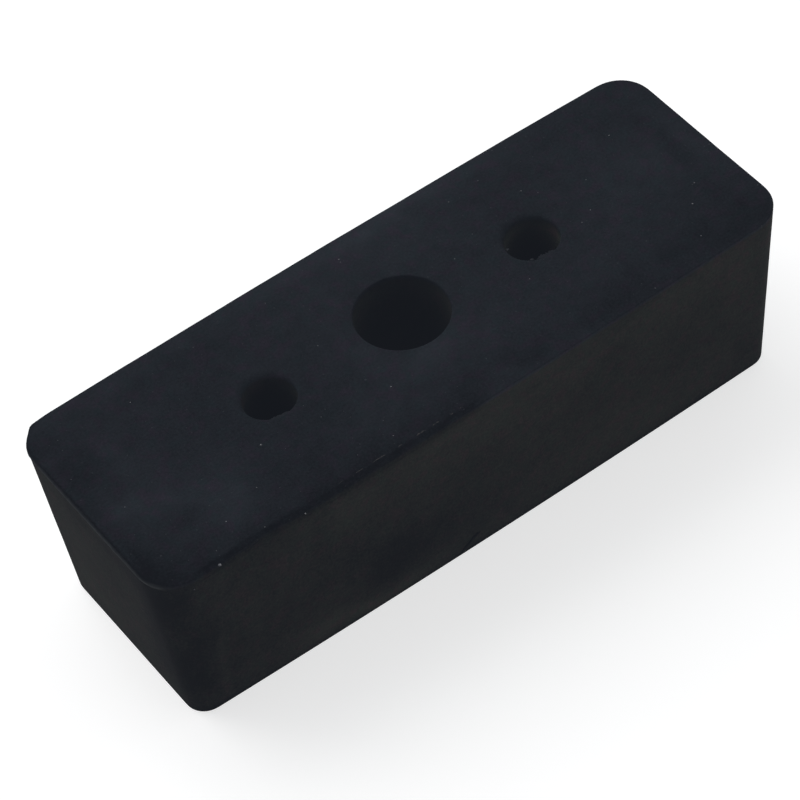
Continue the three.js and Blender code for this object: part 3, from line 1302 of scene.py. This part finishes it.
@dataclass
class LooseRubber:
    """What the mould and the blade left on the block: rim slivers, well films with whitened edges, creases
    and crumbs, with near-black strips of painted shadow along the rims and the creases coloured near-black
    as painted shade.
    """

    moulding: RubberMoulding
    slivers: tuple[tuple[float, float, float], ...] = (
        (-56.5, -54.5, 0.14),
        (-50.0, -47.0, 0.14),
        (-43.6, -38.2, 0.28),
        (-33.6, -32.0, 0.24),
        (-26.4, -22.8, 0.34),
        (-20.2, -17.4, 0.26),
        (-13.0, -12.0, 0.22),
        (-9.4, -8.2, 0.24),
    )
    crumbs: tuple[tuple[float, float, float], ...] = (
        (-66.0, -12.7, 0.34),
        (-92.0, -31.0, 0.24),
        (-77.0, -26.0, 0.18),
        (-120.0, 15.0, 0.20),
        (-32.0, -37.0, 0.20),
        (102.0, -21.0, 0.30),
        (108.5, -14.0, 0.22),
        (101.0, 22.0, 0.20),
        (75.0, -1.0, 0.20),
        (95.0, -34.0, 0.24),
        (-88.0, 29.5, 0.20),
        (-20.5, -20.0, 0.24),
        (-25.0, -12.5, 0.20),
        (39.0, 16.0, 0.20),
        (63.0, 21.0, 0.24),
        (-1.0, 36.0, 0.24),
    )

    def build(self) -> dict[str, bpy.types.Object]:
        """Makes every loose bit.

        Returns:
            The pieces by name.
        """
        return {
            "rim_slivers": join(*[self._sliver(*sliver) for sliver in self.slivers]),
            "torn_edges": join(*[edge.build() for edge in self._torn_edges()]),
            "rim_shadows": join(*[shadow.build() for shadow in self._rim_shadows()]),
            "well_films": join(*[film.build() for film in self._films()]),
            "face_creases": join(*[crease.build() for crease in self._creases()]),
            "dust_crumbs": join(*self._crumbs()),
        }

    def _front_y(self, x: float, z: float) -> float:
        """Where the front face is at a place along it and a height."""
        base, top = self.moulding.base, self.moulding.top
        straight = top.length / 2 - top.corner_radii[0]
        half = blend(base.width, top.width, z / self.moulding.height) / 2
        return -half - top.side_bow * max(1 - (x / straight) ** 2, 0.0)

    def _rim_y(self, x: float) -> float:
        """Where the front rim of the top face is."""
        return self._front_y(x, self.moulding.height)

    def _sliver(self, start: float, end: float, width: float) -> bpy.types.Object:
        """A curled sliver along the inner edge of the trimmed rim, from one x to another in millimetres."""
        level = self.moulding.height - 0.02 * MM
        from_rim = 2.55 * MM

        def line(along: float) -> Vector:
            """A point on the line, from its start at 0 to its end at 1."""
            x = blend(start, end, along) * MM
            wander = 0.25 * MM * ripple(x, 1.5 * MM, 2.0)
            return Vector((x, self._rim_y(x) + from_rim + wander, level))

        def across(along: float) -> Vector:
            """The way across the sliver."""
            return Vector((0.15 * math.sin(6 * along), 1.0, 0.0))

        return RaggedStrip(line, across, width * MM, 0.12 * MM, 0.6, start, 18, 0.14 * MM).build()

    def _films(self) -> list[RaggedStrip]:
        """The film left round the sharp part of each well's mouth."""
        left, right = self.moulding.wells
        return [self._film(left, -126, -74, 0.45, 0.3), self._film(right, -120, -72, 1.0, 0.3)]

    def _torn_edges(self) -> list[RaggedStrip]:
        """The whitened edges of the wells' films."""
        left, right = self.moulding.wells
        return [
            self._film(left, -126, -74, 0.60, 0.34),
            self._film(right, -120, -72, 1.1, 0.34),
            self._film(right, -133, -125, 0.15, 0.34),
            self._film(right, 168, 174, 0.4, 0.34),
        ]

    def _film(self, well: Mouth, start: float, end: float, width: float, sunk: float) -> RaggedStrip:
        """A film that reaches into a well.

        Args:
            well: The well.
            start: The angle that it starts at, in degrees.
            end: The angle that it ends at, in degrees.
            width: How far it reaches in, in millimetres.
            sunk: How far below the top face it is, in millimetres.

        Returns:
            The strip.
        """
        level = self.moulding.height - sunk * MM
        root = 0.4 * MM

        def out(along: float) -> Vector:
            """The way out from the well's axis."""
            angle = math.radians(blend(start, end, along))
            return Vector((math.cos(angle), math.sin(angle), 0.0))

        def line(along: float) -> Vector:
            """A point on the line, from its start at 0 to its end at 1."""
            return Vector((well.x, well.y, level)) + out(along) * (well.radius + root)

        return RaggedStrip(line, lambda along: -out(along), width * MM + root, 0.2 * MM, 0.4, start, 40)

    def _rim_shadows(self) -> list[RaggedStrip]:
        """Near-black strips that paint the shadow under the trimmed front rim and along the lip of the left
        end's rim.
        """
        height = self.moulding.height
        left_end = -self.moulding.top.length / 2
        thickness = 0.3 * MM

        def on_front_rim(start: float, end: float) -> Callable[[float], Vector]:
            """A line along the front rim, from one x to another in millimetres."""
            def line(along: float) -> Vector:
                """A point on the line, from its start at 0 to its end at 1."""
                x = blend(start, end, along) * MM
                return Vector((x, self._rim_y(x) + 0.42 * MM, height - 0.7 * MM))

            return line

        def on_end_rim(along: float) -> Vector:
            """The line along the left end's rim."""
            y = blend(30.0, -33.0, along) * MM
            wander = 0.15 * MM * ripple(y, 1.3 * MM, 6.0)
            return Vector((left_end + 0.3 * MM + wander, y, height + 0.01 * MM))

        down = Vector((0.0, -0.25, -0.97))
        inward = Vector((1.0, 0.0, 0.0))
        shadow_spans = (
            (-100.0, -88.0, 0.35),
            (-70.0, -64.0, 0.30),
            (-52.0, -46.0, 0.25),
            (-43.0, -35.5, 0.45),
        )
        strips = [
            RaggedStrip(on_front_rim(start, end), lambda along: down, width * MM, thickness, 0.7, start)
            for start, end, width in shadow_spans
        ]
        strips.append(RaggedStrip(on_end_rim, lambda along: inward, 0.45 * MM, thickness, 0.9, 2.0, 220))
        return strips

    def _creases(self) -> list[RaggedStrip]:
        """The crease at the foot of the front face: a fold and its edge, coloured near-black as painted
        shade.
        """

        def on_front(start: tuple[float, float], end: tuple[float, float]) -> Callable[[float], Vector]:
            """A line on the front face, from one x and z to another in millimetres."""
            def line(along: float) -> Vector:
                """A point on the line, from its start at 0 to its end at 1."""
                x = blend(start[0], end[0], along) * MM
                z = blend(start[1], end[1], along) * MM
                return Vector((x, self._front_y(x, z) - 0.05 * MM, z))

            return line

        leaning = Vector((-0.5, 0.0, 0.86))
        fold = on_front((-14.9, 0.8), (-6.4, 6.6))
        edge = on_front((-14.0, 2.2), (-7.4, 7.0))
        return [
            RaggedStrip(fold, lambda along: leaning, 0.9 * MM, 0.3 * MM, 0.5, 3.0, 20),
            RaggedStrip(edge, lambda along: leaning, 0.3 * MM, 0.4 * MM, 0.5, 5.0, 20),
        ]

    def _crumbs(self) -> list[bpy.types.Object]:
        """Every crumb, with the two on the front rim and the one on the front face."""
        top = self.moulding.height
        lumps = [Crumb(Vector((x * MM, y * MM, top)), radius * MM).build() for x, y, radius in self.crumbs]
        for x, z, radius in ((-103.0, 72.4, 0.52), (-71.0, 72.0, 0.28), (-113.0, 68.0, 0.28)):
            place = Vector((x * MM, self._front_y(x * MM, z * MM), z * MM))
            lumps.append(Crumb(place, radius * MM).build())
        return lumps


def dress(piece: bpy.types.Object, material: bpy.types.Material) -> None:
    """Gives a piece one material, and smooth shading that keeps its sharp edges."""
    piece.data.materials.clear()
    piece.data.materials.append(material)
    pick(piece)
    bpy.ops.object.shade_smooth_by_angle(angle=math.radians(40.0))


# ---------------------------------------------------------------- studio


@dataclass(frozen=True)
class Softbox:
    """A square soft light that faces the block."""

    name: str
    place: Vector
    size: float
    power: float

    def hang(self) -> None:
        """Makes the light."""
        data = bpy.data.lights.new(self.name, "AREA")
        data.size = self.size
        data.energy = self.power
        light = bpy.data.objects.new(self.name, data)
        light.location = self.place
        light.rotation_euler = self.place.to_track_quat("Z", "Y").to_euler()
        bpy.context.scene.collection.objects.link(light)


@dataclass
class Studio:
    """The pale floor, the soft lights, the dim wall behind the camera and the camera itself."""

    aim: Vector
    azimuth: float = -30.0
    elevation: float = 49.0
    roll: float = -8.18
    distance: float = 1.1869
    lens: float = 161.6
    wall_colour: Colour = (0.96, 0.98, 1.0, 1.0)
    wall_light: float = 0.85
    dim_wall_light: float = 0.12
    dim_wall: Band = Band(0.25, 0.95)
    floor_size: float = 30.0
    floor_gap: float = 0.05 * MM
    haze: tuple[float, float, float] = (0.0074, 0.0088, 0.0119)
    softboxes: tuple[Softbox, ...] = (
        Softbox("back_softbox", Vector((-0.35, 1.0, 1.3)), 1.3, 14.0),
        Softbox("right_softbox", Vector((0.8, -1.5, 0.35)), 0.9, 3.0),
    )

    def build(self) -> None:
        """Makes the floor, the world, the lights and the camera."""
        self._floor()
        self._world()
        self._exposure()
        for softbox in self.softboxes:
            softbox.hang()
        self._camera()

    @property
    def _back(self) -> Vector:
        """The direction from the block to the camera."""
        turn, rise = math.radians(self.azimuth), math.radians(self.elevation)
        return Vector((math.sin(turn) * math.cos(rise), -math.cos(turn) * math.cos(rise), math.sin(rise)))

    def _floor(self) -> None:
        """A wide floor just under the block."""
        bpy.ops.object.select_all(action="DESELECT")
        bpy.ops.mesh.primitive_plane_add(size=self.floor_size, location=(0.0, 0.0, -self.floor_gap))
        floor = bpy.context.object
        floor.name = "floor"
        bpy.ops.object.transform_apply(location=True, rotation=True, scale=True)
        floor.data.materials.append(PaleFloor().material())

    def _world(self) -> None:
        """Pale light from all round, dimmer from the wall behind the camera."""
        world = bpy.data.worlds.new("studio")
        board = NodeBoard(world)
        direction = board.add("ShaderNodeTexCoord", output="Generated")
        inputs = {0: direction, 1: self._back}
        towards = board.add("ShaderNodeVectorMath", {"operation": "DOT_PRODUCT"}, inputs, "Value")
        dimming = towards.rise(self.dim_wall)
        light = self.wall_light - dimming * (self.wall_light - self.dim_wall_light)
        background = board.add("ShaderNodeBackground", None, {"Color": self.wall_colour, "Strength": light})
        board.finish("ShaderNodeOutputWorld", background)
        bpy.context.scene.world = world

    def _exposure(self) -> None:
        """Plain colour reproduction, with the faint haze that a lens adds over a white floor."""
        view = bpy.context.scene.view_settings
        view.view_transform = "Standard"
        view.use_curve_mapping = True
        view.curve_mapping.black_level = tuple(-level for level in self.haze)
        view.curve_mapping.update()

    def _camera(self) -> None:
        """The camera, turned about its own axis as the view is."""
        back = self._back
        roll = math.radians(self.roll)
        across = Vector((0.0, 0.0, 1.0)).cross(back).normalized()
        up = back.cross(across)
        right = across * math.cos(roll) + up * math.sin(roll)
        above = up * math.cos(roll) - across * math.sin(roll)
        data = bpy.data.cameras.new("camera")
        data.lens = self.lens
        camera = bpy.data.objects.new("camera", data)
        turned = Matrix((right, above, back)).transposed().to_4x4()
        camera.matrix_world = Matrix.Translation(self.aim + back * self.distance) @ turned
        bpy.context.scene.collection.objects.link(camera)
        bpy.context.scene.camera = camera


# ---------------------------------------------------------------- assembly


LOOSE_FINISHES = {
    "rim_slivers": StreakedRubber("whitened_slivers", (0.050, 0.046, 0.044, 1.0), (0.014, 0.014, 0.015, 1.0)),
    "torn_edges": StreakedRubber("whitened_edges", (0.030, 0.031, 0.034, 1.0), (0.014, 0.015, 0.017, 1.0)),
    # painted shadow: near-black strips under the front rim and along the left end's lip
    "rim_shadows": StreakedRubber("painted_rim_shadow", (0.0050, 0.0052, 0.0060, 1.0), (0.0010, 0.0010, 0.0012, 1.0)),
    "well_films": StreakedRubber("torn_film", (0.0118, 0.0128, 0.0150, 1.0), (0.0095, 0.0105, 0.0130, 1.0)),
    # painted shade: the crease's strips are near-black
    "face_creases": StreakedRubber("crease_painted_shade", (0.003, 0.003, 0.003, 1.0), (0.0006, 0.0006, 0.0006, 1.0)),
    "dust_crumbs": StreakedRubber("pale_crumbs", (0.22, 0.22, 0.22, 1.0), (0.06, 0.06, 0.07, 1.0)),
}


def main() -> None:
    """Builds the studio and every piece of the bump block, and reports each one."""
    logging.basicConfig(level=logging.INFO, format="%(message)s")
    Studio(aim=mm(-5.41, 1.74, 35.45)).build()

    low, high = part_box("rubber_block")
    sleeves = [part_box("bolt_sleeve_left"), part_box("bolt_sleeve_right")]
    middles = [(start + end) / 2 for start, end in sleeves]
    left_well = Mouth(middles[0].x, middles[0].y, 9 * MM, 12)
    right_middle = middles[1] + mm(0.4, -0.2, 0.0)
    right_well = Mouth(right_middle.x, right_middle.y, 9.3 * MM, 12, wall_painted_light=1.2, soft_side=135.0)
    length = high.x - low.x
    width = high.y - low.y
    bow = 1 * MM
    moulding = RubberMoulding(
        height=high.z - 0.15 * MM,
        top=Outline(length - 0.2 * MM, width - 2 * bow - 0.2 * MM, mm_each(13, 13, 12.5, 13), bow),
        base=Outline(238 * MM, 77.2 * MM, mm_each(7.3, 7.3, 7.3, 7.3), bow),
        centre=Mouth(0.9 * MM, 3.4 * MM, 16.2 * MM, 18),
        wells=(left_well, right_well),
        sleeve_pocket_radius=12.5 * MM,
        sleeve_pocket_top=20.3 * MM,
    )
    shell = moulding.build()
    dress(shell, MouldedRubber(top_height=moulding.height).material())
    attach(shell, ROOT_BODY)
    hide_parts("rubber_block")
    LOG.info("rubber_moulding: %d faces", len(shell.data.polygons))

    for name, piece in LooseRubber(moulding).build().items():
        piece.name = name
        piece.data.name = name
        dress(piece, LOOSE_FINISHES[name].material())
        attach(piece, ROOT_BODY)
        LOG.info("%s: %d faces", name, len(piece.data.polygons))

    turned = TurnedSteel().material()
    for name in ("bolt_sleeve_left", "bolt_sleeve_right"):
        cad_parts[name].data.materials.clear()
        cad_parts[name].data.materials.append(turned)
        LOG.info("%s: carried over, turned steel", name)
    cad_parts["core_plate"].data.materials.clear()
    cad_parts["core_plate"].data.materials.append(PrimedSteel().material())
    LOG.info("core_plate: carried over, primed steel")


if __name__ == "__main__":
    main()
